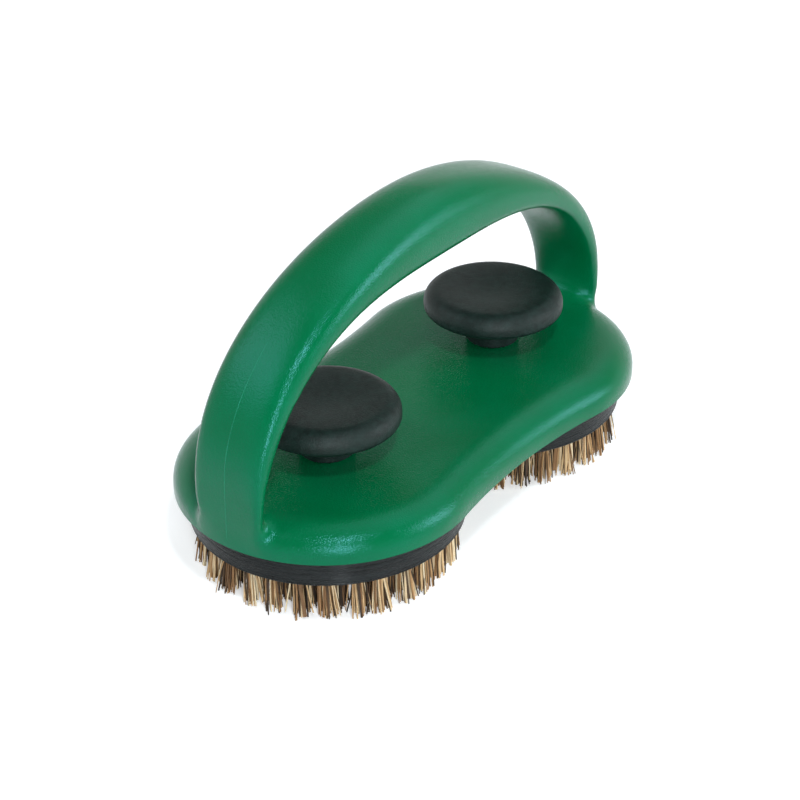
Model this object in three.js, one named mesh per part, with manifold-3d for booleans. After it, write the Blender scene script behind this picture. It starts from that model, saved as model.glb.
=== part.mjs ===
// Grill scrubber: a moulded body with an arch handle over two round brush heads. Each head is drawn up
// against the body by a mushroom knob that screws on to the stud of the head.
// Millimetres, +Z up. The origin is on the ground under the middle of the part. The heads lie along X,
// the arch stands over them in the plane Y = 0, and the bristle tips stand on Z = 0.
import * as THREE from 'three';
import { mergeVertices } from 'three/addons/utils/BufferGeometryUtils.js';
import loadManifold from 'manifold-3d';

// Layout and fits
const HEAD_GAP = 3.6; // between the two brush discs
const SEAT_GAP = 0.3; // between faces that rest on one another
const THREAD_GAP = 0.3; // radial, between the stud and what is screwed or pushed on to it
const LOOSE_GAP = 0.4; // radial, round pieces that lie in a recess

// Base of the body
const RIM_OVERHANG = 5.1; // of the round ends past the brush discs
const WAIST_DEPTH = 4.4; // how far each side is drawn in midway between the heads
const BASE_HEIGHT = 11.8;
const RIM_WIDTH = 12.5; // rounding of the top edge, across
const RIM_DROP = 9.3; // and down
const STUD_HOLE_GAP = 0.5; // radial

// Arch handle of the body
const ARCH_RISE = 84.2; // of the outer line, over the top of the base
const GRIP_THICKNESS = 23.2;
const GRIP_WIDTH = 34.3;
const LEG_THICKNESS = 7; // at the base, before trimming
const LEG_WIDTH = 29;
const LEG_TRIM = 1; // cut off the outer face of each leg, which is flat there
const FOOT_INSET = 0.2; // of the legs inside the rim at the underside
const OUTER_CROWN = 1.7; // fullness of the outer line at the top: 2 is an ellipse, more is flatter
const OUTER_LEG = 2.52; // and down the legs: more is straighter
const INNER_CROWN = 3.4;
const INNER_LEG = 1.9;
const GRIP_DOME = 2.5; // fullness of the outer half of the section at the grip
const LEG_DOME = 3; // and at the legs
const GRIP_PALM = 3.2; // fullness of the inner half of the section at the grip
const LEG_PALM = 2;
const GRIP_INNER = 0.28; // share of the thickness inside the widest line of the section at the grip
const LEG_INNER = 0.5;

// Backing disc of a brush head
const DISC_RADIUS = 50.2;
const DISC_HEIGHT = 12.2;
const DISC_LIP = 1.3; // wall round the slice that holds the bristles
const HUB_WALL = 1.7; // wall round the head of the stud
const PIN_RADIUS = 4; // pins on the disc that stop it turning in the body
const PIN_HEIGHT = 4.2;
const PIN_OFFSET = 35; // from the axis of the head

// Bristles of a brush head
const BRISTLE_LENGTH = 16.2; // below the disc
const SLICE_THICKNESS = 3; // slice of the backing that the strands stand in
const EDGE_LAND = 1.5; // slice left outside the outer ring of tufts
const RING_SPACE = 1.6; // between the tips of one ring of tufts and the next
const TUFT_SPACE = 2; // between the tips of one tuft and the next along a ring
const OUTER_STRANDS = 3; // in a tuft of the outer ring
const INNER_STRANDS = 2; // in the other tufts
const STRAND_RADIUS = 1.2;
const ROOT_SPREAD = 1.9; // of the strands from the middle of their tuft, at the slice
const TIP_SPREAD = 2.5; // and on the ground

// Stud of a brush head: a carriage bolt, and the retainer pushed over it
const STUD_RADIUS = 3.97;
const STUD_REACH = 13.05; // into the knob
const STUD_HEAD_RADIUS = 9.1;
const STUD_HEAD_HEIGHT = 4.2;
const STUD_HEAD_EDGE = 1.4; // straight edge of the domed head
const STUD_HEAD_SINK = 0.7; // above the underside of the disc
const STUD_TIP_CHAMFER = 0.8;
const RETAINER_RADIUS = 8;
const RETAINER_THICKNESS = 1;
const RETAINER_SINK = 0.5; // below the top of the disc

// Knob, its threaded insert and its captive washer
const KNOB_RADIUS = 27;
const KNOB_HEIGHT = 21.2;
const CAP_SHOULDER = 5.4; // rounding of the top edge of the cap
const CAP_BAND = 1.2; // straight between the two roundings
const CAP_UNDERCUT = 2.2; // rounding of the lower edge of the cap
const CAP_DISH = 0.5; // hollow in the middle of the cap
const NECK_RADIUS = 10.3;
const NECK_FILLET = 3; // between the neck and the cap
const INSERT_RADIUS = 5.8;
const INSERT_LENGTH = 11.5;
const INSERT_SINK = 0.4; // above the foot of the neck
const STUD_END_ROOM = 1.6; // over the end of the stud
const STUD_END_GAP = 0.9; // radial, over the insert
const WASHER_INSET = 1.55; // inside the edge of the neck
const WASHER_THICKNESS = 1.6;

// Fineness of the facets
const LOBE_STEPS = 36;
const WAIST_STEPS = 8;
const RIM_STEPS = 5;
const ARCH_STEPS = 36;
const SECTION_STEPS = 20;
const DISC_STEPS = 48;
const KNOB_STEPS = 36;
const SMALL_STEPS = 16;
const ROUND_STEPS = 3; // in a quarter of a rounded edge

// Places and levels that follow from the sizes
const headOffset = DISC_RADIUS + HEAD_GAP / 2;
const headAxes = [-headOffset, headOffset];
const lobeRadius = DISC_RADIUS + RIM_OVERHANG;
const discBottom = BRISTLE_LENGTH;
const discTop = discBottom + DISC_HEIGHT;
const baseBottom = discTop + SEAT_GAP;
const baseTop = baseBottom + BASE_HEIGHT;
const knobFoot = baseTop + SEAT_GAP;
const studShoulder = discBottom + STUD_HEAD_SINK + STUD_HEAD_HEIGHT;
const studTop = knobFoot + STUD_REACH;
const retainerTop = discTop - RETAINER_SINK;
const retainerSeat = retainerTop - RETAINER_THICKNESS - SEAT_GAP;
const washerSeat = baseTop - WASHER_THICKNESS - SEAT_GAP;
const washerRadius = NECK_RADIUS - WASHER_INSET;

const wasm = await loadManifold();
wasm.setup();

// A closed geometry as a solid, with its corners shared and its faces turned outwards
function solidOf(geometry) {
  const plain = geometry.clone();
  plain.deleteAttribute('normal');
  plain.deleteAttribute('uv');
  const merged = mergeVertices(plain, 1e-4);
  const corners = merged.attributes.position.array;
  const faces = [];
  let volume = 0;
  const [a, b, c] = [new THREE.Vector3(), new THREE.Vector3(), new THREE.Vector3()];
  for (let i = 0; i < merged.index.count; i += 3) {
    const face = [0, 1, 2].map((k) => merged.index.getX(i + k));
    if (new Set(face).size < 3) continue;
    a.fromArray(corners, 3 * face[0]);
    b.fromArray(corners, 3 * face[1]);
    c.fromArray(corners, 3 * face[2]);
    volume += a.dot(b.cross(c));
    faces.push(face);
  }
  if (volume < 0) {
    faces.forEach((face) => face.reverse());
  }
  return new wasm.Manifold(new wasm.Mesh({
    numProp: 3,
    vertProperties: new Float32Array(corners),
    triVerts: new Uint32Array(faces.flat()),
  }));
}

function geometryOf(solid) {
  const mesh = solid.getMesh();
  const geometry = new THREE.BufferGeometry();
  geometry.setAttribute('position', new THREE.BufferAttribute(mesh.vertProperties, 3));
  geometry.setIndex(new THREE.BufferAttribute(mesh.triVerts, 1));
  const faceted = geometry.toNonIndexed();
  faceted.computeVertexNormals();
  return faceted;
}

// A solid turned about Z from a profile of [radius, height] points
function turned(profile, steps) {
  const points = profile.map(([radius, height]) => new THREE.Vector2(radius, height));
  const geometry = new THREE.LatheGeometry(points, steps);
  geometry.rotateX(Math.PI / 2);
  return solidOf(geometry);
}

function cylinder(radius, bottom, top, x = 0, y = 0, steps = SMALL_STEPS) {
  const profile = [[0, bottom], [radius, bottom], [radius, top], [0, top]];
  return turned(profile, steps).translate([x, y, 0]);
}

// A flat ring: radius is its outside and bore its inside
function ring(radius, bore, bottom, top, steps) {
  return turned([[bore, bottom], [radius, bottom], [radius, top], [bore, top], [bore, bottom]], steps);
}

function block(low, high) {
  const size = high.map((value, k) => value - low[k]);
  const middle = high.map((value, k) => (value + low[k]) / 2);
  const geometry = new THREE.BoxGeometry(...size);
  geometry.translate(...middle);
  return solidOf(geometry);
}

// Points of a rounded corner, from one angle to another
function corner(middle, radius, from, to) {
  const points = [];
  for (let k = 0; k <= ROUND_STEPS; k++) {
    const angle = from + (to - from) * k / ROUND_STEPS;
    points.push([middle[0] + radius * Math.cos(angle), middle[1] + radius * Math.sin(angle)]);
  }
  return points;
}

// A solid skinned over closed rings of equally many points, with flat ends
function skinned(rings) {
  const count = rings[0].length;
  const corners = rings.flat();
  const faces = [];
  for (let k = 0; k + 1 < rings.length; k++) {
    for (let i = 0; i < count; i++) {
      const [a, b] = [k * count + i, k * count + (i + 1) % count];
      faces.push(a, b, b + count, a, b + count, a + count);
    }
  }
  for (const [end, start] of [[rings[0], 0], [rings.at(-1), (rings.length - 1) * count]]) {
    const middle = corners.length;
    const centre = new THREE.Vector3();
    end.forEach((point) => centre.addScaledVector(point, 1 / count));
    corners.push(centre);
    for (let i = 0; i < count; i++) {
      const [a, b] = [start + i, start + (i + 1) % count];
      faces.push(...(start === 0 ? [middle, b, a] : [middle, a, b]));
    }
  }
  const geometry = new THREE.BufferGeometry();
  geometry.setAttribute('position', new THREE.Float32BufferAttribute(corners.flatMap((p) => p.toArray()), 3));
  geometry.setIndex(faces);
  return solidOf(geometry);
}

// Outline of the base, as points with their outward directions: two lobes and the waist arcs that join them
function baseOutline() {
  const waist = lobeRadius - WAIST_DEPTH;
  const waistRadius = (headOffset ** 2 + waist ** 2 - lobeRadius ** 2) / (2 * WAIST_DEPTH);
  const waistCentre = waist + waistRadius;
  const turn = Math.atan2(headOffset, waistCentre);
  const outline = [];
  const arc = (x, y, radius, from, to, steps, side) => {
    for (let k = 0; k < steps; k++) {
      const angle = from + (to - from) * k / steps;
      const [c, s] = [Math.cos(angle), Math.sin(angle)];
      outline.push({ x: x + radius * c, y: y + radius * s, nx: side * c, ny: side * s });
    }
  };
  const quarter = Math.PI / 2;
  arc(headOffset, 0, lobeRadius, -quarter - turn, quarter + turn, LOBE_STEPS, 1);
  arc(0, waistCentre, waistRadius, -quarter + turn, -quarter - turn, WAIST_STEPS, -1);
  arc(-headOffset, 0, lobeRadius, quarter - turn, 3 * quarter + turn, LOBE_STEPS, 1);
  arc(0, -waistCentre, waistRadius, quarter + turn, quarter - turn, WAIST_STEPS, -1);
  return outline;
}

const outline = baseOutline();

function outlineRing(inset, z) {
  return outline.map((p) => new THREE.Vector3(p.x - inset * p.nx, p.y - inset * p.ny, z));
}

function base() {
  const rings = [outlineRing(0, baseBottom)];
  for (let k = 0; k <= RIM_STEPS; k++) {
    const angle = Math.PI / 2 * k / RIM_STEPS;
    const inset = RIM_WIDTH * (1 - Math.cos(angle));
    rings.push(outlineRing(inset, baseTop - RIM_DROP * (1 - Math.sin(angle))));
  }
  return skinned(rings);
}

// A power that keeps its sign
function signedPower(value, power) {
  return Math.sign(value) * Math.abs(value) ** power;
}

function archPoint(halfLength, rise, crown, leg, angle) {
  const x = -halfLength * signedPower(Math.cos(angle), 2 / crown);
  return new THREE.Vector3(x, 0, baseTop + rise * Math.abs(Math.sin(angle)) ** (2 / leg));
}

// One section of the arch, at an angle that runs from 0 at the left leg to half a turn at the right leg
function archSection(angle) {
  const legFace = headOffset + lobeRadius;
  const outerHalf = legFace + LEG_TRIM;
  const innerHalf = outerHalf - LEG_THICKNESS;
  const outer = archPoint(outerHalf, ARCH_RISE, OUTER_CROWN, OUTER_LEG, angle);
  const inner = archPoint(innerHalf, ARCH_RISE - GRIP_THICKNESS, INNER_CROWN, INNER_LEG, angle);
  const thickness = outer.distanceTo(inner);
  const outwards = outer.clone().sub(inner).normalize();
  const share = Math.sin(angle);
  const halfWidth = THREE.MathUtils.lerp(LEG_WIDTH, GRIP_WIDTH, share) / 2;
  const dome = THREE.MathUtils.lerp(LEG_DOME, GRIP_DOME, share);
  const palm = THREE.MathUtils.lerp(LEG_PALM, GRIP_PALM, share);
  const widest = thickness * THREE.MathUtils.lerp(LEG_INNER, GRIP_INNER, share);
  const points = [];
  for (let k = 0; k < SECTION_STEPS; k++) {
    const turn = 2 * Math.PI * k / SECTION_STEPS;
    const [c, s] = [Math.cos(turn), Math.sin(turn)];
    const fullness = s >= 0 ? dome : palm;
    const reach = s >= 0 ? thickness - widest : widest;
    const point = inner.clone().addScaledVector(outwards, widest + reach * signedPower(s, 2 / fullness));
    point.x = THREE.MathUtils.clamp(point.x, -legFace, legFace);
    point.y = halfWidth * signedPower(c, 2 / fullness);
    points.push(point);
  }
  return points;
}

// The end of a leg at the underside of the base, kept inside the round of the rim
function archFoot(angle) {
  return archSection(angle).map((point) => {
    const rim = headOffset + Math.sqrt((lobeRadius - FOOT_INSET) ** 2 - point.y ** 2);
    return point.set(THREE.MathUtils.clamp(point.x, -rim, rim), point.y, baseBottom);
  });
}

function arch() {
  const rings = [archFoot(0)];
  for (let k = 0; k <= ARCH_STEPS; k++) {
    rings.push(archSection(Math.PI * k / ARCH_STEPS));
  }
  rings.push(archFoot(Math.PI));
  return skinned(rings);
}

// A solid moulding, with the holes for the studs, washers and pins
function body() {
  let solid = base().add(arch());
  const below = baseBottom - SEAT_GAP;
  const above = baseTop + SEAT_GAP;
  for (const x of headAxes) {
    solid = solid.subtract(cylinder(STUD_RADIUS + STUD_HOLE_GAP, below, above, x));
    solid = solid.subtract(cylinder(washerRadius + LOOSE_GAP, washerSeat, above, x));
    for (const y of [-PIN_OFFSET, PIN_OFFSET]) {
      solid = solid.subtract(cylinder(PIN_RADIUS + LOOSE_GAP, below, discTop + PIN_HEIGHT + LOOSE_GAP, x, y));
    }
  }
  return solid;
}

const sliceRadius = DISC_RADIUS - DISC_LIP - SEAT_GAP;
const headRecess = STUD_HEAD_RADIUS + LOOSE_GAP;
const hubRadius = headRecess + HUB_WALL;

function disc() {
  const sliceRoom = discBottom + SLICE_THICKNESS + SEAT_GAP;
  let solid = turned([
    [0, studShoulder + SEAT_GAP],
    [headRecess, studShoulder + SEAT_GAP],
    [headRecess, discBottom],
    [hubRadius, discBottom],
    [hubRadius, sliceRoom],
    [DISC_RADIUS - DISC_LIP, sliceRoom],
    [DISC_RADIUS - DISC_LIP, discBottom],
    [DISC_RADIUS, discBottom],
    [DISC_RADIUS, discTop],
    [0, discTop],
  ], DISC_STEPS);
  for (const y of [-PIN_OFFSET, PIN_OFFSET]) {
    solid = solid.add(cylinder(PIN_RADIUS, discTop - SEAT_GAP, discTop + PIN_HEIGHT, 0, y));
  }
  const square = STUD_RADIUS + SEAT_GAP;
  solid = solid.subtract(block([-square, -square, discBottom], [square, square, discTop]));
  return solid.subtract(cylinder(RETAINER_RADIUS + LOOSE_GAP, retainerSeat, discTop + SEAT_GAP));
}

function stud() {
  const bottom = discBottom + STUD_HEAD_SINK;
  const dome = [];
  for (let k = 0; k <= ROUND_STEPS; k++) {
    const angle = Math.PI / 2 * k / ROUND_STEPS;
    const rise = (STUD_HEAD_HEIGHT - STUD_HEAD_EDGE) * (1 - Math.cos(angle));
    dome.push([STUD_HEAD_RADIUS * Math.sin(angle), bottom + rise]);
  }
  const solid = turned([
    ...dome,
    [STUD_HEAD_RADIUS, studShoulder],
    [STUD_RADIUS, studShoulder],
    [STUD_RADIUS, studTop - STUD_TIP_CHAMFER],
    [STUD_RADIUS - STUD_TIP_CHAMFER, studTop],
    [0, studTop],
  ], SMALL_STEPS);
  const neck = block(
    [-STUD_RADIUS, -STUD_RADIUS, studShoulder - STUD_HEAD_EDGE],
    [STUD_RADIUS, STUD_RADIUS, retainerSeat - SEAT_GAP],
  );
  return solid.add(neck);
}

function retainer() {
  return ring(RETAINER_RADIUS, STUD_RADIUS + THREAD_GAP, retainerSeat + SEAT_GAP, retainerTop, SMALL_STEPS);
}

function washer() {
  return ring(washerRadius, STUD_RADIUS + LOOSE_GAP, washerSeat + SEAT_GAP, baseTop, SMALL_STEPS);
}

const insertBottom = knobFoot + INSERT_SINK;
const insertTop = insertBottom + INSERT_LENGTH;

function insert() {
  return ring(INSERT_RADIUS, STUD_RADIUS + THREAD_GAP, insertBottom, insertTop, SMALL_STEPS);
}

function knob() {
  const top = knobFoot + KNOB_HEIGHT;
  const capBottom = top - CAP_SHOULDER - CAP_BAND - CAP_UNDERCUT;
  const quarter = Math.PI / 2;
  const bore = INSERT_RADIUS + SEAT_GAP;
  const boreTop = insertTop + SEAT_GAP;
  const relief = STUD_RADIUS + STUD_END_GAP;
  const reliefTop = Math.max(boreTop, studTop) + STUD_END_ROOM;
  return turned([
    [0, reliefTop],
    [relief, reliefTop],
    [relief, boreTop],
    [bore, boreTop],
    [bore, knobFoot],
    [NECK_RADIUS, knobFoot],
    ...corner([NECK_RADIUS + NECK_FILLET, capBottom - NECK_FILLET], NECK_FILLET, 2 * quarter, quarter),
    ...corner([KNOB_RADIUS - CAP_UNDERCUT, capBottom + CAP_UNDERCUT], CAP_UNDERCUT, -quarter, 0),
    ...corner([KNOB_RADIUS - CAP_SHOULDER, top - CAP_SHOULDER], CAP_SHOULDER, 0, quarter),
    [0, top - CAP_DISH],
  ], KNOB_STEPS);
}

// Strands of one head, in tufts along rings, leaning apart from the slice down to the ground
function strands() {
  const corners = [];
  const faces = [];
  const rootZ = discBottom + SLICE_THICKNESS / 2;
  const golden = Math.PI * (3 - Math.sqrt(5));
  const strand = (root, tip, turn) => {
    const start = corners.length / 3;
    for (const [middle, z] of [[root, rootZ], [tip, 0]]) {
      for (let k = 0; k < 3; k++) {
        const angle = turn + 2 * Math.PI * k / 3;
        const [x, y] = [STRAND_RADIUS * Math.cos(angle), STRAND_RADIUS * Math.sin(angle)];
        corners.push(middle[0] + x, middle[1] + y, z);
      }
    }
    const sides = [[0, 1, 3], [1, 4, 3], [1, 2, 4], [2, 5, 4], [2, 0, 5], [0, 3, 5], [0, 2, 1], [3, 4, 5]];
    sides.forEach((face) => faces.push(...face.map((k) => start + k)));
  };
  const outerRing = sliceRadius - EDGE_LAND - ROOT_SPREAD - STRAND_RADIUS;
  const reach = TIP_SPREAD + STRAND_RADIUS;
  const innerLimit = hubRadius + SEAT_GAP + reach;
  for (let radius = outerRing; radius > innerLimit; radius -= 2 * reach + RING_SPACE) {
    const tufts = Math.floor(2 * Math.PI * radius / (2 * reach + TUFT_SPACE));
    const count = radius === outerRing ? OUTER_STRANDS : INNER_STRANDS;
    for (let i = 0; i < tufts; i++) {
      const at = 2 * Math.PI * (i + 0.5) / tufts;
      const middle = [radius * Math.cos(at), radius * Math.sin(at)];
      for (let k = 0; k < count; k++) {
        const turn = i * golden + 2 * Math.PI * k / count;
        const spread = (size) => [middle[0] + size * Math.cos(turn), middle[1] + size * Math.sin(turn)];
        strand(spread(ROOT_SPREAD), spread(TIP_SPREAD), turn);
      }
    }
  }
  const geometry = new THREE.BufferGeometry();
  geometry.setAttribute('position', new THREE.Float32BufferAttribute(corners, 3));
  geometry.setIndex(faces);
  return solidOf(geometry);
}

function bristles() {
  const slice = ring(sliceRadius, hubRadius + SEAT_GAP, discBottom, discBottom + SLICE_THICKNESS, DISC_STEPS);
  return slice.add(strands());
}

const materials = {
  green: new THREE.MeshStandardMaterial({ color: 0x0b6b42, roughness: 0.5, metalness: 0 }),
  black: new THREE.MeshStandardMaterial({ color: 0x26282a, roughness: 0.6, metalness: 0 }),
  backing: new THREE.MeshStandardMaterial({ color: 0x1c1d20, roughness: 0.55, metalness: 0 }),
  fibre: new THREE.MeshStandardMaterial({ color: 0xb98f5c, roughness: 0.8, metalness: 0 }),
  steel: new THREE.MeshStandardMaterial({ color: 0xb8bcc0, roughness: 0.35, metalness: 1 }),
  brass: new THREE.MeshStandardMaterial({ color: 0xb08d4a, roughness: 0.35, metalness: 1 }),
};

function piece(name, geometry, material) {
  const mesh = new THREE.Mesh(geometry, material);
  mesh.name = name;
  return mesh;
}

const scrubber = new THREE.Group();
scrubber.add(piece('handle_body', geometryOf(body()), materials.green));

const headPieces = {
  knob: [geometryOf(knob()), materials.black],
  insert: [geometryOf(insert()), materials.brass],
  washer: [geometryOf(washer()), materials.steel],
  stud: [geometryOf(stud()), materials.steel],
  retainer: [geometryOf(retainer()), materials.steel],
  disc: [geometryOf(disc()), materials.backing],
  bristles: [geometryOf(bristles()), materials.fibre],
};

for (const [side, x] of [['left', -headOffset], ['right', headOffset]]) {
  const head = new THREE.Group();
  head.position.x = x;
  for (const [name, [geometry, material]] of Object.entries(headPieces)) {
    head.add(piece(`${side}_${name}`, geometry, material));
  }
  scrubber.add(head);
}

export default scrubber;
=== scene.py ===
# Grill scrubber: a moulded green body with an arch handle, two screw knobs and two round brush heads.
# Metres, +Z up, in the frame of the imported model: heads along X, bristle tips on Z = 0.
import math
import random

import bmesh
import bpy
from mathutils import Matrix, Vector


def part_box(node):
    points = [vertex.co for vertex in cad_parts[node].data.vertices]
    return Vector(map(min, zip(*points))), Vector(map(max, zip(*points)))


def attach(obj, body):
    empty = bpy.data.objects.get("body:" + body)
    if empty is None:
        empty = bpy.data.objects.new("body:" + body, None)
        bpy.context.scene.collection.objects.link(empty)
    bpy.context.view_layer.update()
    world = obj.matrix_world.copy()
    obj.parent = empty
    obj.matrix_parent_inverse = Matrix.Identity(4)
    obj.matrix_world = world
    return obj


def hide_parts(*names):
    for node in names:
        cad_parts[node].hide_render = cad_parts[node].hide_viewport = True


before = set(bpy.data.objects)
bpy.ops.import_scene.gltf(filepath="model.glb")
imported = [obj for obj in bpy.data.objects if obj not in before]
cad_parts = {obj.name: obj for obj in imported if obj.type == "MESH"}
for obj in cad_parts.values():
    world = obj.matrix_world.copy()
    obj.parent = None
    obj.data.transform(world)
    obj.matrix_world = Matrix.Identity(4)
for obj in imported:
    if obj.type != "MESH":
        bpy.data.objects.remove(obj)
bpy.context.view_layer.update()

MM = 0.001
QUARTER = math.pi / 2

# Camera, fitted to the photograph
CAMERA_AZIMUTH = math.radians(-53.234)
CAMERA_ELEVATION = math.radians(30.622)
CAMERA_DISTANCE = 804.115 * MM
AIM_ASIDE = -4.995 * MM
AIM_RAISE = 31.216 * MM
FOCAL_PIXELS = 2092.143
PHOTO_PIXELS = 800
SENSOR_WIDTH = 36.0

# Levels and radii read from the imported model
BODY_LOW, BODY_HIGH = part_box("handle_body")
DISC_LOW, DISC_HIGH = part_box("left_disc")
KNOB_LOW, KNOB_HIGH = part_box("left_knob")
STUD_LOW, STUD_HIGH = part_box("left_stud")
INSERT_LOW, INSERT_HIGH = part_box("left_insert")
WASHER_LOW, WASHER_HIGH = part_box("left_washer")
RETAINER_LOW, RETAINER_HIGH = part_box("left_retainer")
HEAD_OFFSET = -(KNOB_LOW[0] + KNOB_HIGH[0]) / 2
SIDES = {"left": -HEAD_OFFSET, "right": HEAD_OFFSET}

# Base of the body
LOBE_RADIUS = BODY_HIGH[0] - HEAD_OFFSET
WAIST_DEPTH = 4.4 * MM
BASE_BOTTOM = BODY_LOW[2]
BASE_TOP = BASE_BOTTOM + 11.8 * MM
RIM_WIDTH = 12.5 * MM
RIM_DROP = 9.3 * MM
STUD_HOLE = 4.47 * MM
WASHER_RECESS = 9.15 * MM
WASHER_RECESS_DEPTH = 1.9 * MM
PIN_HOLE = 4.4 * MM
PIN_HOLE_TOP = 33.0 * MM
PIN_OFFSET = 35 * MM

# Arch handle of the body
ARCH_RISE = BODY_HIGH[2] - BASE_TOP
GRIP_THICKNESS = 23.2 * MM
GRIP_WIDTH = 34.3 * MM
LEG_THICKNESS = 7 * MM
LEG_WIDTH = 29 * MM
LEG_TRIM = 1 * MM
FACE_SOFTNESS = 0.7 * MM  # the soft change from the arch's line to a leg's flat outer face
OUTER_CROWN = 1.7
OUTER_LEG = 2.52
INNER_CROWN = 3.4
INNER_LEG = 1.9
GRIP_DOME = 2.5
LEG_DOME = 4.2
GRIP_PALM = 3.2
LEG_PALM = 2
GRIP_INNER = 0.28
LEG_INNER = 0.5

# Mesh of the body, and the fillets where its legs meet the base
BODY_VOXEL = 1.0 * MM
UNDERSIDE_TRIM = 5 * MM
FINISH_PASSES = 3
FILLET_ROUNDS = 80
FILLET_PASSES = 4
FILLET_FLATNESS = 0.002 * MM
FOOT_CORNER_IN = 2.5 * MM
FOOT_CORNER_DOWN = 3.5 * MM
FOOT_CORNER_SIZES = (7 * MM, 6 * MM, 5 * MM, 4 * MM, 3 * MM)
FOOT_CORNER_PASSES = 3

scene = bpy.context.scene
scene.view_settings.view_transform = "Standard"


def place_camera():
    sine, cosine = math.sin(CAMERA_AZIMUTH), math.cos(CAMERA_AZIMUTH)
    level = math.cos(CAMERA_ELEVATION)
    back = Vector((sine * level, -cosine * level, math.sin(CAMERA_ELEVATION)))
    right = Vector((cosine, sine, 0))
    up = back.cross(right)
    eye = right * AIM_ASIDE + up * AIM_RAISE + back * CAMERA_DISTANCE
    lens = bpy.data.cameras.new("camera")
    lens.sensor_width = SENSOR_WIDTH
    lens.lens = FOCAL_PIXELS * SENSOR_WIDTH / PHOTO_PIXELS
    camera = bpy.data.objects.new("camera", lens)
    turn = Matrix((right, up, back)).transposed().to_4x4()
    camera.matrix_world = Matrix.Translation(eye) @ turn
    scene.collection.objects.link(camera)
    scene.camera = camera


place_camera()


# Materials

def new_material(name):
    material = bpy.data.materials.new(name)
    material.use_nodes = True
    nodes = material.node_tree.nodes
    return material, nodes, material.node_tree.links, nodes["Principled BSDF"]


def object_noise(nodes, links, scale, detail=2.0, roughness=0.5, stretch=None):
    place = nodes.new("ShaderNodeTexCoord")
    noise = nodes.new("ShaderNodeTexNoise")
    noise.inputs["Scale"].default_value = scale
    noise.inputs["Detail"].default_value = detail
    noise.inputs["Roughness"].default_value = roughness
    if stretch is None:
        links.new(place.outputs["Object"], noise.inputs["Vector"])
        return noise.outputs["Fac"]
    mapping = nodes.new("ShaderNodeMapping")
    mapping.inputs["Scale"].default_value = stretch
    links.new(place.outputs["Object"], mapping.inputs["Vector"])
    links.new(mapping.outputs["Vector"], noise.inputs["Vector"])
    return noise.outputs["Fac"]


def colour_ramp(nodes, links, value, stops):
    ramp = nodes.new("ShaderNodeValToRGB")
    elements = ramp.color_ramp.elements
    while len(elements) < len(stops):
        elements.new(0.5)
    for element, (place, colour) in zip(elements, stops):
        element.position = place
        element.color = (*colour, 1)
    links.new(value, ramp.inputs["Fac"])
    return ramp.outputs["Color"]


def value_range(nodes, links, value, low, high, out_low, out_high):
    ranged = nodes.new("ShaderNodeMapRange")
    ranged.inputs["From Min"].default_value = low
    ranged.inputs["From Max"].default_value = high
    ranged.inputs["To Min"].default_value = out_low
    ranged.inputs["To Max"].default_value = out_high
    links.new(value, ranged.inputs["Value"])
    return ranged.outputs["Result"]


def bump(nodes, links, height, depth, strength, under=None):
    node = nodes.new("ShaderNodeBump")
    node.inputs["Strength"].default_value = strength
    node.inputs["Distance"].default_value = depth
    links.new(height, node.inputs["Height"])
    if under is not None:
        links.new(under, node.inputs["Normal"])
    return node.outputs["Normal"]


def srgb(red, green, blue):
    def linear(part):
        part /= 255
        return part / 12.92 if part <= 0.04045 else ((part + 0.055) / 1.055) ** 2.4
    return tuple(linear(part) for part in (red, green, blue))


def green_moulding(name, dark, light):
    """Moulded green plastic with a fine spark-eroded grain and a cool gloss."""
    material, nodes, links, shader = new_material(name)
    cloud = object_noise(nodes, links, 45, 3)
    tint = colour_ramp(nodes, links, cloud, [(0.3, dark), (0.7, light)])
    links.new(tint, shader.inputs["Base Color"])
    grain = object_noise(nodes, links, 1500, 2, 0.6)
    polish = value_range(nodes, links, grain, 0.3, 0.7, 0.12, 0.22)
    links.new(polish, shader.inputs["Roughness"])
    shader.inputs["Specular IOR Level"].default_value = 0.34
    shader.inputs["Specular Tint"].default_value = (0.26, 0.78, 1, 1)
    links.new(bump(nodes, links, grain, 0.14 * MM, 1), shader.inputs["Normal"])
    return material


def knob_plastic():
    material, nodes, links, shader = new_material("knob_plastic")
    cloud = object_noise(nodes, links, 330, 5, 0.65)
    tint = colour_ramp(nodes, links, cloud, [(0.3, srgb(10, 22, 19)), (0.7, srgb(24, 41, 37))])
    links.new(tint, shader.inputs["Base Color"])
    grain = object_noise(nodes, links, 1700, 3, 0.6)
    polish = value_range(nodes, links, grain, 0.3, 0.7, 0.38, 0.54)
    links.new(polish, shader.inputs["Roughness"])
    shader.inputs["Specular IOR Level"].default_value = 0.24
    links.new(bump(nodes, links, grain, 0.2 * MM, 0.8), shader.inputs["Normal"])
    return material


def turned_backing():
    material, nodes, links, shader = new_material("turned_backing")
    streak = object_noise(nodes, links, 1, 5, 0.7, (55, 55, 1700))
    tint = colour_ramp(nodes, links, streak, [(0.36, srgb(4, 6, 7)), (0.66, srgb(20, 27, 28))])
    links.new(tint, shader.inputs["Base Color"])
    polish = value_range(nodes, links, streak, 0.3, 0.7, 0.2, 0.36)
    links.new(polish, shader.inputs["Roughness"])
    shader.inputs["Specular IOR Level"].default_value = 0.22
    links.new(bump(nodes, links, streak, 0.7 * MM, 1), shader.inputs["Normal"])
    return material


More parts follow.
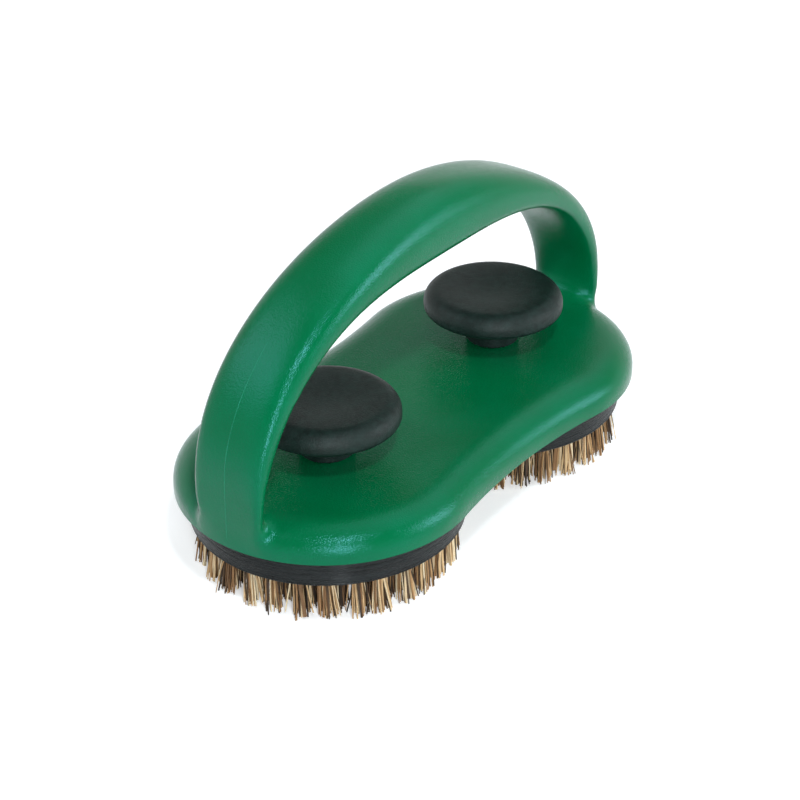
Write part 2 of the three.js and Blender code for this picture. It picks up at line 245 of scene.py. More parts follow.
def palm_fibre():
    material, nodes, links, shader = new_material("palm_fibre")
    # The per-fibre shade holds the fibres' own tones, darkened on the inner rings as painted shade.
    shade = nodes.new("ShaderNodeAttribute")
    shade.attribute_name = "shade"
    straw = colour_ramp(nodes, links, shade.outputs["Fac"], [
        (0.0, srgb(46, 36, 30)),
        (0.18, srgb(92, 72, 54)),
        (0.36, srgb(142, 104, 70)),
        (0.54, srgb(192, 150, 104)),
        (0.75, srgb(226, 190, 142)),
        (1.0, srgb(250, 230, 192)),
    ])
    streak = object_noise(nodes, links, 1, 3, 0.6, (1800, 1800, 160))
    depth = value_range(nodes, links, streak, 0.3, 0.7, 0.7, 1.08)
    mixed = nodes.new("ShaderNodeMix")
    mixed.data_type = "RGBA"
    mixed.blend_type = "MULTIPLY"
    mixed.inputs["Factor"].default_value = 1
    links.new(straw, mixed.inputs["A"])
    links.new(depth, mixed.inputs["B"])
    links.new(mixed.outputs["Result"], shader.inputs["Base Color"])
    shader.inputs["Roughness"].default_value = 0.6
    shader.inputs["Specular IOR Level"].default_value = 0.2
    links.new(bump(nodes, links, streak, 0.1 * MM, 0.4), shader.inputs["Normal"])
    return material


def bare_metal(name, dark, light, smooth, rough):
    material, nodes, links, shader = new_material(name)
    cloud = object_noise(nodes, links, 700, 4, 0.6)
    tint = colour_ramp(nodes, links, cloud, [(0.3, dark), (0.7, light)])
    links.new(tint, shader.inputs["Base Color"])
    polish = value_range(nodes, links, cloud, 0.3, 0.7, smooth, rough)
    links.new(polish, shader.inputs["Roughness"])
    shader.inputs["Metallic"].default_value = 1
    return material


GREEN = green_moulding("green_moulding", srgb(0, 96, 53), srgb(0, 102, 60))
# The parting line's lighter green is partly paler moulding flash and partly a painted highlight where the
# ridge catches light.
FLASH_AND_HIGHLIGHT = green_moulding("pale_flash_and_painted_highlight", srgb(0, 106, 64), srgb(30, 132, 96))
KNOB = knob_plastic()
BACKING = turned_backing()
FIBRE = palm_fibre()
ZINC = bare_metal("zinc_steel", srgb(178, 181, 184), srgb(206, 209, 210), 0.26, 0.42)
BRASS = bare_metal("brass", srgb(176, 140, 74), srgb(205, 170, 98), 0.25, 0.4)


# Making and placing pieces

def add_piece(name, mesh, material, body, nodes=()):
    mesh.materials.clear()
    mesh.materials.append(material)
    piece = bpy.data.objects.new(name, mesh)
    scene.collection.objects.link(piece)
    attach(piece, body)
    if nodes:
        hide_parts(*nodes)
    return piece


def mesh_of(bm, name, sharp_angle=35):
    mesh = bpy.data.meshes.new(name)
    bm.to_mesh(mesh)
    bm.free()
    mesh.shade_smooth()
    mesh.set_sharp_from_angle(angle=math.radians(sharp_angle))
    return mesh


def applied(mesh, modifiers):
    """The mesh after a list of (modifier type, settings) is applied to it."""
    carrier = bpy.data.objects.new("carrier", mesh)
    scene.collection.objects.link(carrier)
    for kind, settings in modifiers:
        modifier = carrier.modifiers.new(kind.lower(), kind)
        for name, value in settings.items():
            setattr(modifier, name, value)
    view = bpy.context.evaluated_depsgraph_get()
    result = bpy.data.meshes.new_from_object(carrier.evaluated_get(view))
    bpy.data.objects.remove(carrier)
    return result


def corner(middle, radius, start, end, steps=8):
    """Profile points of a rounded corner, from one angle to another."""
    points = []
    for k in range(steps + 1):
        angle = start + (end - start) * k / steps
        points.append((middle[0] + radius * math.cos(angle), middle[1] + radius * math.sin(angle)))
    return points


def turn_profile(bm, profile, x=0, y=0, steps=96):
    """Spin a profile of (radius, height) points about the upright axis at (x, y)."""
    verts = [bm.verts.new((x + radius, y, height)) for radius, height in profile]
    edges = [bm.edges.new(pair) for pair in zip(verts, verts[1:])]
    bmesh.ops.spin(
        bm, geom=verts + edges, cent=(x, y, 0), axis=(0, 0, 1), angle=2 * math.pi, steps=steps, use_merge=True
    )
    bmesh.ops.remove_doubles(bm, verts=bm.verts, dist=0.5e-6)
    bmesh.ops.recalc_face_normals(bm, faces=bm.faces)


def signed_power(value, power):
    return math.copysign(abs(value) ** power, value)


# Green body

def waist_sizes():
    waist = LOBE_RADIUS - WAIST_DEPTH
    radius = (HEAD_OFFSET ** 2 + waist ** 2 - LOBE_RADIUS ** 2) / (2 * WAIST_DEPTH)
    centre = waist + radius
    return radius, centre, math.atan2(HEAD_OFFSET, centre)


def base_block(bm, bottom):
    """The base: two lobes joined by waist arcs, with a wide round on the top edge."""
    radius, centre, turn = waist_sizes()
    angle = -QUARTER - turn
    start = (HEAD_OFFSET + LOBE_RADIUS * math.cos(angle), LOBE_RADIUS * math.sin(angle), bottom)
    end = bm.verts.new(start)
    arcs = [
        ((HEAD_OFFSET, 0, 0), math.pi + 2 * turn, 120),
        ((0, centre, 0), -2 * turn, 36),
        ((-HEAD_OFFSET, 0, 0), math.pi + 2 * turn, 120),
        ((0, -centre, 0), -2 * turn, 36),
    ]
    for middle, sweep, steps in arcs:
        arc = bmesh.ops.spin(bm, geom=[end], cent=middle, axis=(0, 0, 1), angle=sweep, steps=steps)
        end = arc["geom_last"][0]
    bmesh.ops.remove_doubles(bm, verts=bm.verts, dist=0.01 * MM)
    floor = bmesh.ops.contextual_create(bm, geom=bm.edges[:])["faces"]
    raised = bmesh.ops.extrude_face_region(bm, geom=floor)["geom"]
    top_verts = [item for item in raised if isinstance(item, bmesh.types.BMVert)]
    shoulder = BASE_TOP - RIM_DROP
    bmesh.ops.translate(bm, verts=top_verts, vec=(0, 0, shoulder + RIM_WIDTH - bottom))
    top_edges = [item for item in raised if isinstance(item, bmesh.types.BMEdge)]
    bmesh.ops.bevel(
        bm, geom=top_edges, offset=RIM_WIDTH, offset_type="OFFSET", segments=16, profile=0.5,
        affect="EDGES", material=-1, clamp_overlap=False,
    )
    rounded = [vert for vert in bm.verts if vert.co.z > shoulder]
    about = Matrix.Translation((0, 0, -shoulder))
    bmesh.ops.scale(bm, verts=rounded, vec=(1, 1, RIM_DROP / RIM_WIDTH), space=about)


def arch_point(half_length, rise, crown, leg, angle):
    x = -half_length * signed_power(math.cos(angle), 2 / crown)
    return Vector((x, 0, BASE_TOP + rise * abs(math.sin(angle)) ** (2 / leg)))


def arch_lines(angle):
    """Points of the outer and inner line of the arch, from 0 at the left leg to half a turn at the right."""
    half = HEAD_OFFSET + LOBE_RADIUS + LEG_TRIM
    outer = arch_point(half, ARCH_RISE, OUTER_CROWN, OUTER_LEG, angle)
    inner = arch_point(half - LEG_THICKNESS, ARCH_RISE - GRIP_THICKNESS, INNER_CROWN, INNER_LEG, angle)
    return outer, inner


def mix(low, high, share):
    return low + (high - low) * share


def arch_ring(bm, angle, foot=None, steps=64):
    """One section of the arch as a ring of edges, set down to the height foot where that is given."""
    outer, inner = arch_lines(angle)
    thickness = (outer - inner).length
    outwards = (outer - inner).normalized()
    share = math.sin(angle)
    half_width = mix(LEG_WIDTH, GRIP_WIDTH, share) / 2
    dome = mix(LEG_DOME, GRIP_DOME, share)
    palm = mix(LEG_PALM, GRIP_PALM, share)
    widest = thickness * mix(LEG_INNER, GRIP_INNER, share)
    verts = bmesh.ops.create_circle(bm, segments=steps, radius=1)["verts"]
    for vert in verts:
        across, out = vert.co.x, vert.co.y
        fullness = dome if out >= 0 else palm
        reach = thickness - widest if out >= 0 else widest
        vert.co = inner + outwards * (widest + reach * signed_power(out, 2 / fullness))
        vert.co.y = half_width * signed_power(across, 2 / fullness)
        if foot is not None:
            vert.co.z = foot
    return list({edge for vert in verts for edge in vert.link_edges})


def leg_face(y, z):
    """How far out a leg's outer face stands: flat over the base, and in with the rim at its underside."""
    share = min(max((z - BASE_BOTTOM) / (BASE_TOP - BASE_BOTTOM), 0), 1)
    rim = HEAD_OFFSET + math.sqrt(LOBE_RADIUS ** 2 - y ** 2)
    return mix(rim, HEAD_OFFSET + LOBE_RADIUS, share)


def within_face(x, y, z):
    """The distance x held within the outer face of the leg, with a soft change from one to the other."""
    short = (leg_face(y, z) - abs(x)) / FACE_SOFTNESS
    back = FACE_SOFTNESS * (math.log1p(math.exp(short)) - short)
    return x - math.copysign(back, x)


def arch_bar(bm, bottom, steps=110):
    """The arch, with its legs run straight down into the base."""
    foot_steps = 6
    levels = [bottom]
    for k in range(foot_steps):
        levels.append(mix(BASE_BOTTOM, BASE_TOP, k / foot_steps))
    rings = [arch_ring(bm, 0, level) for level in levels]
    for k in range(steps + 1):
        rings.append(arch_ring(bm, math.pi * k / steps))
    rings += [arch_ring(bm, math.pi, level) for level in reversed(levels)]
    bmesh.ops.contextual_create(bm, geom=rings[0])
    bmesh.ops.contextual_create(bm, geom=rings[-1])
    for ring, following in zip(rings, rings[1:]):
        bmesh.ops.bridge_loops(bm, edges=ring + following)
    for vert in bm.verts:
        vert.co.x = within_face(*vert.co)
    bmesh.ops.recalc_face_normals(bm, faces=bm.faces)


def smooth(bm, verts):
    bmesh.ops.smooth_vert(bm, verts=verts, factor=0.5, use_axis_x=True, use_axis_y=True, use_axis_z=True)


def fill_crease(bm):
    """Smooth the hollow where the legs meet the base, and the corners at its ends, into a fillet."""
    near = []
    for vert in bm.verts:
        at_leg = abs(vert.co.x) > HEAD_OFFSET + 0.6 * LOBE_RADIUS and abs(vert.co.y) < LEG_WIDTH
        if at_leg and BASE_TOP - RIM_DROP < vert.co.z < BASE_TOP + RIM_DROP:
            near.append(vert)
    for _ in range(FILLET_ROUNDS):
        bm.normal_update()
        hollow = []
        for vert in near:
            around = [edge.other_vert(vert).co for edge in vert.link_edges]
            middle = sum(around, Vector()) / len(around)
            if (middle - vert.co).dot(vert.normal) > FILLET_FLATNESS:
                hollow.append(vert)
        for _ in range(FILLET_PASSES):
            smooth(bm, hollow)
    for size in FOOT_CORNER_SIZES:
        corners = []
        for vert in near:
            along = abs(vert.co.x) - HEAD_OFFSET - LOBE_RADIUS + FOOT_CORNER_IN
            across = abs(vert.co.y) - LEG_WIDTH / 2
            height = vert.co.z - BASE_TOP + FOOT_CORNER_DOWN
            if math.hypot(along, across, height) < size:
                corners.append(vert)
        for _ in range(FOOT_CORNER_PASSES):
            smooth(bm, corners)


def hole_cutters():
    """Solids to cut out of the body: stud holes, washer recesses and pin holes."""
    bm = bmesh.new()
    past = 2 * MM
    for x in SIDES.values():
        seat = BASE_TOP - WASHER_RECESS_DEPTH
        stud_hole = [(0, BASE_BOTTOM - past), (STUD_HOLE, BASE_BOTTOM - past), (STUD_HOLE, seat)]
        recess = [(WASHER_RECESS, seat), (WASHER_RECESS, BASE_TOP + past), (0, BASE_TOP + past)]
        turn_profile(bm, stud_hole + recess, x, steps=48)
        for y in (-PIN_OFFSET, PIN_OFFSET):
            pin_hole = [
                (0, BASE_BOTTOM - past),
                (PIN_HOLE, BASE_BOTTOM - past),
                (PIN_HOLE, PIN_HOLE_TOP),
                (0, PIN_HOLE_TOP),
            ]
            turn_profile(bm, pin_hole, x, y, steps=32)
    return mesh_of(bm, "hole_cutters")


def make_body():
    below = BASE_BOTTOM - UNDERSIDE_TRIM
    block = bmesh.new()
    base_block(block, below)
    bar = bmesh.new()
    arch_bar(bar, below + 1 * MM)
    bar_mesh = mesh_of(bar, "arch_bar")
    block.from_mesh(bar_mesh)
    remesh = ("REMESH", {"mode": "VOXEL", "voxel_size": BODY_VOXEL})
    joined = applied(mesh_of(block, "body_joined"), [remesh])

    bm = bmesh.new()
    bm.from_mesh(joined)
    fill_crease(bm)
    for _ in range(FINISH_PASSES):
        smooth(bm, bm.verts)
    whole = bm.verts[:] + bm.edges[:] + bm.faces[:]
    cut = bmesh.ops.bisect_plane(
        bm, geom=whole, plane_co=(0, 0, BASE_BOTTOM), plane_no=(0, 0, 1), clear_inner=True
    )
    rim = [item for item in cut["geom_cut"] if isinstance(item, bmesh.types.BMEdge)]
    bmesh.ops.contextual_create(bm, geom=rim)
    bmesh.ops.recalc_face_normals(bm, faces=bm.faces)

    cutter = bpy.data.objects.new("hole_cutters", hole_cutters())
    scene.collection.objects.link(cutter)
    drill = ("BOOLEAN", {"operation": "DIFFERENCE", "solver": "EXACT", "object": cutter})
    drilled = applied(mesh_of(bm, "body_whole"), [drill])
    bpy.data.objects.remove(cutter)
    drilled.name = "green_body"
    drilled.shade_smooth()
    drilled.set_sharp_from_angle(angle=math.radians(38))
    add_piece("green_body", drilled, GREEN, "body", ["handle_body"])


PARTING_END = 0.66
PARTING_BEAD = 0.22 * MM
PARTING_PROUD = 0.07 * MM


def make_parting_lines():
    """A fine moulding line up the middle of the outer face of each leg, dying away below the grip."""
    bm = bmesh.new()
    steps = 50
    for end in (0, math.pi):
        rings = []
        for k in range(-1, steps + 1):
            along = max(k, 0) / steps
            outer, inner = arch_lines(abs(end - PARTING_END * along))
            outwards = (outer - inner).normalized()
            if k < 0:
                outer.z = BASE_BOTTOM + PARTING_BEAD
            outer.x = within_face(*outer)
            point = outer + outwards * (PARTING_PROUD * (1 - along ** 3) - PARTING_BEAD)
            verts = bmesh.ops.create_circle(bm, segments=6, radius=PARTING_BEAD)["verts"]
            for vert in verts:
                across, out = vert.co.x, vert.co.y
                vert.co = point + outwards * out
                vert.co.y = across
            rings.append(list({edge for vert in verts for edge in vert.link_edges}))
        bmesh.ops.contextual_create(bm, geom=rings[0])
        bmesh.ops.contextual_create(bm, geom=rings[-1])
        for ring, following in zip(rings, rings[1:]):
            bmesh.ops.bridge_loops(bm, edges=ring + following)
    bmesh.ops.recalc_face_normals(bm, faces=bm.faces)
    add_piece("parting_lines", mesh_of(bm, "parting_lines", 80), FLASH_AND_HIGHLIGHT, "body")


# Knobs and their hardware

CAP_SHOULDER = 5.4 * MM  # height of the rounded shoulder
CAP_ROUND = 6 * MM  # width of the rounded shoulder
CAP_BAND = 1.2 * MM
CAP_UNDERCUT = 2.2 * MM
CAP_DISH = 1.1 * MM
NECK_RADIUS = 10.3 * MM
NECK_FILLET = 3 * MM
INSERT_BORE = 4.27 * MM
INSERT_EDGE = 0.4 * MM
INSERT_ROOM = 6.1 * MM
INSERT_ROOM_OVER = 0.3 * MM
WASHER_BORE = 4.37 * MM
WASHER_EDGE = 0.25 * MM
RETAINER_EDGE = 0.2 * MM
RELIEF_RADIUS = 4.87 * MM
RELIEF_TOP = 55.45 * MM


def make_knob(side, x):
    foot, top = KNOB_LOW[2], KNOB_HIGH[2]
    radius = (KNOB_HIGH[0] - KNOB_LOW[0]) / 2
    cap_bottom = top - CAP_SHOULDER - CAP_BAND - CAP_UNDERCUT
    foot_edge = 0.5 * MM
    room_top = INSERT_HIGH[2] + INSERT_ROOM_OVER
    profile = [
        (0, RELIEF_TOP),
        (RELIEF_RADIUS, RELIEF_TOP),
        (RELIEF_RADIUS, room_top),
        (INSERT_ROOM, room_top),
        (INSERT_ROOM, foot),
        (NECK_RADIUS - foot_edge, foot),
        (NECK_RADIUS, foot + foot_edge),
    ]
    profile += corner((NECK_RADIUS + NECK_FILLET, cap_bottom - NECK_FILLET), NECK_FILLET, math.pi, QUARTER)
    profile += corner((radius - CAP_UNDERCUT, cap_bottom + CAP_UNDERCUT), CAP_UNDERCUT, -QUARTER, 0)
    flat = radius - CAP_ROUND
    for k in range(17):
        angle = QUARTER * k / 16
        rise = CAP_SHOULDER * (math.sin(angle) - 1)
        profile.append((flat + CAP_ROUND * math.cos(angle), top + rise))
    for k in range(1, 13):
        share = 1 - k / 12
        profile.append((flat * share, top - CAP_DISH * (1 + math.cos(math.pi * share)) / 2))
    bm = bmesh.new()
    turn_profile(bm, profile, x, steps=128)
    add_piece(f"{side}_mushroom_knob", mesh_of(bm, f"{side}_mushroom_knob"), KNOB, f"{side}_knob",
              [f"{side}_knob"])


def flat_ring(radius, bore, bottom, top, edge):
    """Closed profile of a flat ring with broken edges."""
    return [
        (bore, bottom + edge),
        (bore + edge, bottom),
        (radius - edge, bottom),
        (radius, bottom + edge),
        (radius, top - edge),
        (radius - edge, top),
        (bore + edge, top),
        (bore, top - edge),
        (bore, bottom + edge),
    ]


def make_ring(name, x, profile, material, body, node):
    bm = bmesh.new()
    turn_profile(bm, profile, x, steps=64)
    add_piece(name, mesh_of(bm, name), material, body, [node])


def make_hardware(side, x):
    insert_radius = (INSERT_HIGH[0] - INSERT_LOW[0]) / 2
    make_ring(
        f"{side}_threaded_insert", x,
        flat_ring(insert_radius, INSERT_BORE, INSERT_LOW[2], INSERT_HIGH[2], INSERT_EDGE),
        BRASS, f"{side}_knob", f"{side}_insert",
    )
    washer_radius = (WASHER_HIGH[0] - WASHER_LOW[0]) / 2
    make_ring(
        f"{side}_captive_washer", x,
        flat_ring(washer_radius, WASHER_BORE, WASHER_LOW[2], WASHER_HIGH[2], WASHER_EDGE),
        ZINC, f"{side}_washer", f"{side}_washer",
    )
    retainer_radius = (RETAINER_HIGH[0] - RETAINER_LOW[0]) / 2
    make_ring(
        f"{side}_push_retainer", x,
        flat_ring(retainer_radius, INSERT_BORE, RETAINER_LOW[2], RETAINER_HIGH[2], RETAINER_EDGE),
        ZINC, f"{side}_head", f"{side}_retainer",
    )


# Studs

STUD_RADIUS = 3.97 * MM
STUD_HEAD_HEIGHT = 4.2 * MM
STUD_HEAD_EDGE = 1.4 * MM
STUD_TIP_CHAMFER = 0.8 * MM
SQUARE_TOP = 26.0 * MM
THREAD_PITCH = 25.4 / 18 * MM
THREAD_DEPTH = 0.75 * MM
THREAD_SINK = 0.1 * MM
THREAD_FLANK = 0.42 * THREAD_PITCH
THREAD_STEPS = 24


def make_stud(side, x):
    """A carriage bolt: domed head, square neck and rolled thread."""
    bottom, top = STUD_LOW[2], STUD_HIGH[2]
    head_radius = (STUD_HIGH[0] - STUD_LOW[0]) / 2
    shoulder = bottom + STUD_HEAD_HEIGHT
    core = STUD_RADIUS - THREAD_DEPTH
    profile = []
    for k in range(13):
        angle = QUARTER * k / 12
        rise = (STUD_HEAD_HEIGHT - STUD_HEAD_EDGE) * (1 - math.cos(angle))
        profile.append((head_radius * math.sin(angle), bottom + rise))
    profile += [(head_radius, shoulder), (core, shoulder), (core, top), (0, top)]
    bm = bmesh.new()
    turn_profile(bm, profile, x, steps=48)
    height = SQUARE_TOP - shoulder + STUD_HEAD_EDGE / 2
    middle = Matrix.Translation((x, 0, SQUARE_TOP - height / 2))
    square = Matrix.Diagonal((2 * STUD_RADIUS, 2 * STUD_RADIUS, height, 1))
    bmesh.ops.create_cube(bm, size=1, matrix=middle @ square)
    start = SQUARE_TOP + THREAD_PITCH / 2
    turns = math.floor((top - STUD_TIP_CHAMFER - start) / THREAD_PITCH - 0.5)
    root = core - THREAD_SINK
    crest = THREAD_FLANK / 4
    tooth = [(root, -THREAD_FLANK), (STUD_RADIUS, -crest), (STUD_RADIUS, crest), (root, THREAD_FLANK)]
    verts = [bm.verts.new((x + radius, 0, start + z)) for radius, z in tooth]
    face = bm.faces.new(verts)
    bmesh.ops.spin(
        bm, geom=[face], cent=(x, 0, 0), axis=(0, 0, 1), dvec=(0, 0, THREAD_PITCH / THREAD_STEPS),
        angle=2 * math.pi * turns, steps=THREAD_STEPS * turns,
    )
    bmesh.ops.recalc_face_normals(bm, faces=bm.faces)
    add_piece(f"{side}_threaded_stud", mesh_of(bm, f"{side}_threaded_stud"), ZINC, f"{side}_head",
              [f"{side}_stud"])


# Brush heads

PIN_RADIUS = 4 * MM
HEAD_RECESS = 9.5 * MM
RETAINER_RECESS = 8.4 * MM
RETAINER_SEAT = 26.6 * MM
BACKING_HEIGHT = 12.2 * MM
SQUARE_HOLE = 4.27 * MM
DISC_EDGE = 0.6 * MM
TOOL_LINES = 26
TOOL_LINE_DEPTH = 0.12 * MM


def make_disc(side, x, seed):
    """The backing disc: turned rim with fine tool lines, recesses for the stud, and two locating pins."""
    chance = random.Random(seed)
    bottom = DISC_LOW[2]
    top = bottom + BACKING_HEIGHT
    radius = (DISC_HIGH[0] - DISC_LOW[0]) / 2
    seat = STUD_LOW[2] + STUD_HEAD_HEIGHT + 0.3 * MM
    edge = DISC_EDGE
    profile = [(SQUARE_HOLE, seat), (HEAD_RECESS, seat)]
    profile += [(HEAD_RECESS, bottom + edge), (HEAD_RECESS + edge, bottom)]
    profile += [(radius - edge, bottom), (radius, bottom + edge)]
    pitch = (BACKING_HEIGHT - 2 * edge) / TOOL_LINES
    for k in range(1, TOOL_LINES):
        z = bottom + edge + (k + chance.uniform(-0.3, 0.3)) * pitch
        profile.append((radius - chance.uniform(0, TOOL_LINE_DEPTH), z))
    profile += [(radius, top - edge), (radius - edge, top), (RETAINER_RECESS + edge / 2, top)]
    profile += [(RETAINER_RECESS, top - edge / 2), (RETAINER_RECESS, RETAINER_SEAT)]
    profile += [(SQUARE_HOLE, RETAINER_SEAT), (SQUARE_HOLE, seat)]
    bm = bmesh.new()
    turn_profile(bm, profile, x, steps=160)
    pin_top = DISC_HIGH[2]
    for y in (-PIN_OFFSET, PIN_OFFSET):
        pin = [(0, top - 1 * MM), (PIN_RADIUS, top - 1 * MM), (PIN_RADIUS, pin_top - edge)]
        pin += [(PIN_RADIUS - edge, pin_top), (0, pin_top)]
        turn_profile(bm, pin, x, y, steps=40)
    add_piece(f"{side}_backing_disc", mesh_of(bm, f"{side}_backing_disc"), BACKING, f"{side}_head",
              [f"{side}_disc"])


# Rings of tufts: radius, tufts, fibres in a tuft, and how far their shades lean to the dark; the inner rings
# lean further, as painted shade where light does not reach between the tufts
TUFT_RINGS = (
    (44 * MM, 29, 54, 1.15),
    (38 * MM, 25, 52, 1.9),
    (31 * MM, 20, 44, 1.9),
    (23 * MM, 14, 34, 1.8),
    (15 * MM, 9, 28, 1.8),
)
TUFT_ROOT = 2.6 * MM
TUFT_SPLAY = 1.48
TUFT_LEAN = 0.5 * MM
TUFT_OUTWARD = 0.4 * MM
FIBRE_SIDES = 5
FIBRE_ROOT_DEPTH = 1.5 * MM
FIBRE_THICKNESS = (0.2 * MM, 0.38 * MM)
FIBRE_BOW = 0.25 * MM
FIBRE_SHORTFALL = 1.2 * MM
FIBRE_STRAY = 0.6 * MM
WILD_STRAY = 1.7 * MM
WILD_SHARE = 0.12
SPLIT_SHARE = 0.12


def unit_fibre():
    """A fibre of unit length and radius, with room for a shade on each vertex."""
    bm = bmesh.new()
    bm.verts.layers.float.new("shade")
    bmesh.ops.create_cone(bm, cap_ends=True, segments=FIBRE_SIDES, radius1=1, radius2=0.8, depth=1)
    bmesh.ops.translate(bm, verts=bm.verts, vec=(0, 0, 0.5))
    upright = [edge for edge in bm.edges if abs(edge.verts[0].co.z - edge.verts[1].co.z) > 0.5]
    bmesh.ops.subdivide_edges(bm, edges=upright, cuts=2)
    mesh = bpy.data.meshes.new("unit_fibre")
    bm.to_mesh(mesh)
    bm.free()
    return mesh


UNIT_FIBRE = unit_fibre()


def add_fibre(bm, root, tip, bow, thickness, flatness, turn, shade):
    """One fibre from its root to its tip, bowed sideways in the middle."""
    bm.from_mesh(UNIT_FIBRE)
    bm.verts.ensure_lookup_table()
    shade_layer = bm.verts.layers.float["shade"]
    cosine, sine = math.cos(turn), math.sin(turn)
    for vert in bm.verts[-len(UNIT_FIBRE.vertices):]:
        along = vert.co.z
        wide, deep = vert.co.x * thickness * flatness, vert.co.y * thickness
        centre = root.lerp(tip, along) + bow * (4 * along * (1 - along))
        vert.co = centre + Vector((wide * cosine - deep * sine, wide * sine + deep * cosine, 0))
        vert[shade_layer] = shade


def make_tuft(chance, middle, outwards, count, dark_lean_and_painted_shade, root_z):
    """One tuft of fibres, each leaning its own way."""
    bm = bmesh.new()
    lean = Vector((chance.gauss(0, TUFT_LEAN), chance.gauss(0, TUFT_LEAN), 0)) + outwards * TUFT_OUTWARD
    for _ in range(count):
        spread = TUFT_ROOT * math.sqrt(chance.random())
        angle = chance.uniform(0, 2 * math.pi)
        offset = Vector((spread * math.cos(angle), spread * math.sin(angle), 0))
        root = middle + offset
        root.z = root_z
        stray = WILD_STRAY if chance.random() < WILD_SHARE else FIBRE_STRAY
        tip = middle + offset * TUFT_SPLAY + lean
        tip += Vector((chance.gauss(0, stray), chance.gauss(0, stray), 0))
        tip.z = abs(chance.gauss(0, FIBRE_SHORTFALL))
        bow = Vector((chance.gauss(0, FIBRE_BOW), chance.gauss(0, FIBRE_BOW), 0))
        thickness = chance.uniform(*FIBRE_THICKNESS)
        flatness = chance.uniform(1.6, 2.4) if chance.random() < SPLIT_SHARE else chance.uniform(1, 1.3)
        # The fibre's own tone, pulled darker on the inner rings as painted shade inside the bristle field.
        shade = chance.random() ** dark_lean_and_painted_shade
        add_fibre(bm, root, tip, bow, thickness, flatness, chance.uniform(0, math.pi), shade)
    bmesh.ops.recalc_face_normals(bm, faces=bm.faces)
    mesh = bpy.data.meshes.new("tuft")
    bm.to_mesh(mesh)
    bm.free()
    return mesh


def make_bristles(side, x, seed):
    chance = random.Random(seed)
    root_z = DISC_LOW[2] + FIBRE_ROOT_DEPTH
    bm = bmesh.new()
    for radius, tufts, count, dark_lean_and_painted_shade in TUFT_RINGS:
        for i in range(tufts):
            at = 2 * math.pi * (i + 0.5) / tufts + chance.gauss(0, 0.008)
            outwards = Vector((math.cos(at), math.sin(at), 0))
            middle = Vector((x, 0, 0)) + outwards * radius
            tuft = make_tuft(chance, middle, outwards, count, dark_lean_and_painted_shade, root_z)
            bm.from_mesh(tuft)
            bpy.data.meshes.remove(tuft)
    add_piece(f"{side}_fibre_tufts", mesh_of(bm, f"{side}_fibre_tufts", 60), FIBRE, f"{side}_head",
              [f"{side}_bristles"])


make_body()
make_parting_lines()
for number, (side_name, axis_x) in enumerate(SIDES.items()):
    make_knob(side_name, axis_x)
    make_hardware(side_name, axis_x)
    make_stud(side_name, axis_x)
    make_disc(side_name, axis_x, 21 + number)
    make_bristles(side_name, axis_x, 11 + number)


# Floor and light

def seen_share(nodes, links, strength):
    """A strength for rays that see the background: from the camera, mirrored, or through glass."""
    path = nodes.new("ShaderNodeLightPath")
    value = path.outputs["Is Camera Ray"]
    for ray in ("Is Glossy Ray", "Is Transmission Ray"):
        either = nodes.new("ShaderNodeMath")
        either.operation = "MAXIMUM"
        links.new(value, either.inputs[0])
        links.new(path.outputs[ray], either.inputs[1])
        value = either.outputs["Value"]
    scaled = nodes.new("ShaderNodeMath")
    scaled.operation = "MULTIPLY"
    scaled.inputs[1].default_value = strength
    links.new(value, scaled.inputs[0])
    return scaled.outputs["Value"]


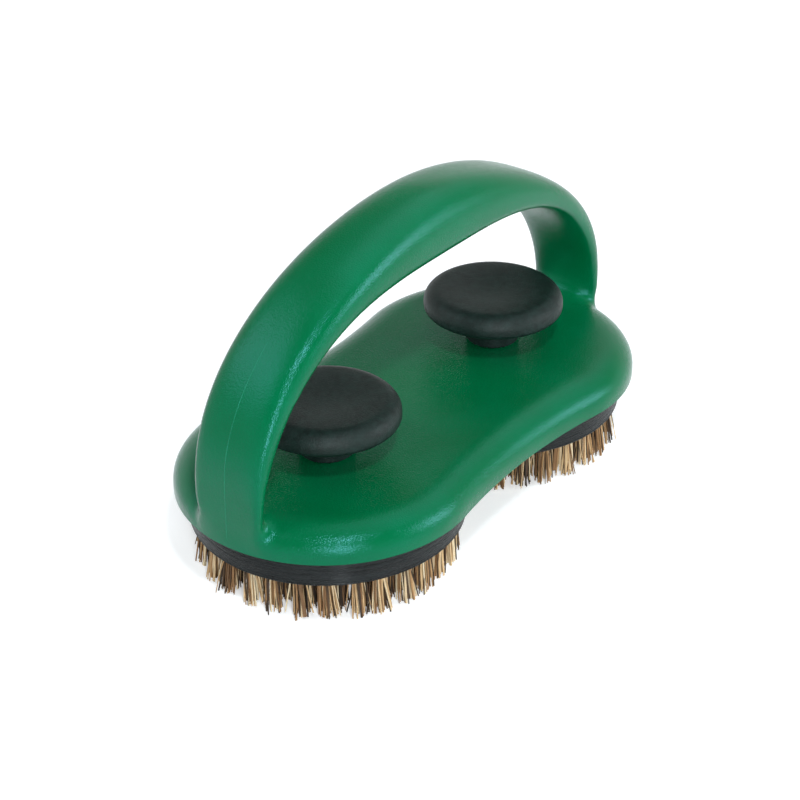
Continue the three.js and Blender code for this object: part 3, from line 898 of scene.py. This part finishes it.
def make_floor():
    bm = bmesh.new()
    bmesh.ops.create_grid(bm, x_segments=1, y_segments=1, size=12)
    floor = bpy.data.objects.new("floor", mesh_of(bm, "floor"))
    material, nodes, links, shader = new_material("white_floor")
    speck = object_noise(nodes, links, 30, 2)
    tint = colour_ramp(nodes, links, speck, [(0.3, (0.73, 0.73, 0.73)), (0.7, (0.75, 0.75, 0.75))])
    links.new(tint, shader.inputs["Base Color"])
    shader.inputs["Roughness"].default_value = 0.9
    shader.inputs["Specular IOR Level"].default_value = 0.1
    shader.inputs["Emission Color"].default_value = (1, 1, 1, 1)
    links.new(seen_share(nodes, links, 0.5), shader.inputs["Emission Strength"])
    floor.data.materials.append(material)
    scene.collection.objects.link(floor)


def make_world():
    """A white backdrop up to a low height, and a darker ceiling over it."""
    world = bpy.data.worlds.new("studio")
    world.use_nodes = True
    nodes, links = world.node_tree.nodes, world.node_tree.links
    sky = nodes["Background"]
    sky.inputs["Color"].default_value = (1, 1, 1, 1)
    sky.inputs["Strength"].default_value = 0.16
    backdrop = nodes.new("ShaderNodeBackground")
    backdrop.inputs["Color"].default_value = (1, 1, 1, 1)
    place = nodes.new("ShaderNodeTexCoord")
    height = nodes.new("ShaderNodeSeparateXYZ")
    links.new(place.outputs["Generated"], height.inputs["Vector"])
    white = value_range(nodes, links, height.outputs["Z"], 0.22, 0.52, 1, 0.2)
    links.new(white, backdrop.inputs["Strength"])
    chosen = nodes.new("ShaderNodeMixShader")
    links.new(seen_share(nodes, links, 1), chosen.inputs["Fac"])
    links.new(sky.outputs["Background"], chosen.inputs[1])
    links.new(backdrop.outputs["Background"], chosen.inputs[2])
    links.new(chosen.outputs["Shader"], nodes["World Output"].inputs["Surface"])
    scene.world = world


LAMP_AIM = Vector((0, 0, 0.05))
LAMP_COLOUR = (0.92, 1, 1.05)


def soft_box(name, place, width, height, power):
    lamp = bpy.data.lights.new(name, "AREA")
    lamp.shape = "RECTANGLE"
    lamp.size = width
    lamp.size_y = height
    lamp.energy = power
    lamp.color = LAMP_COLOUR
    light = bpy.data.objects.new(name, lamp)
    light.location = place
    light.rotation_euler = (LAMP_AIM - Vector(place)).to_track_quat("-Z", "Y").to_euler()
    scene.collection.objects.link(light)


make_floor()
make_world()
soft_box("left_strip", (-0.81, -0.81, 0.42), 0.14, 0.75, 8.4)
soft_box("right_box", (0.48, -0.12, 1.12), 1.3, 1.3, 5)
soft_box("front_box", (0.56, -0.96, 0.5), 0.5, 0.5, 6.5)
soft_box("back_box", (-0.55, 0.6, 0.85), 0.9, 0.6, 4.2)
soft_box("high_spot", (-0.46, -0.51, 1.03), 0.1, 0.1, 4.4)
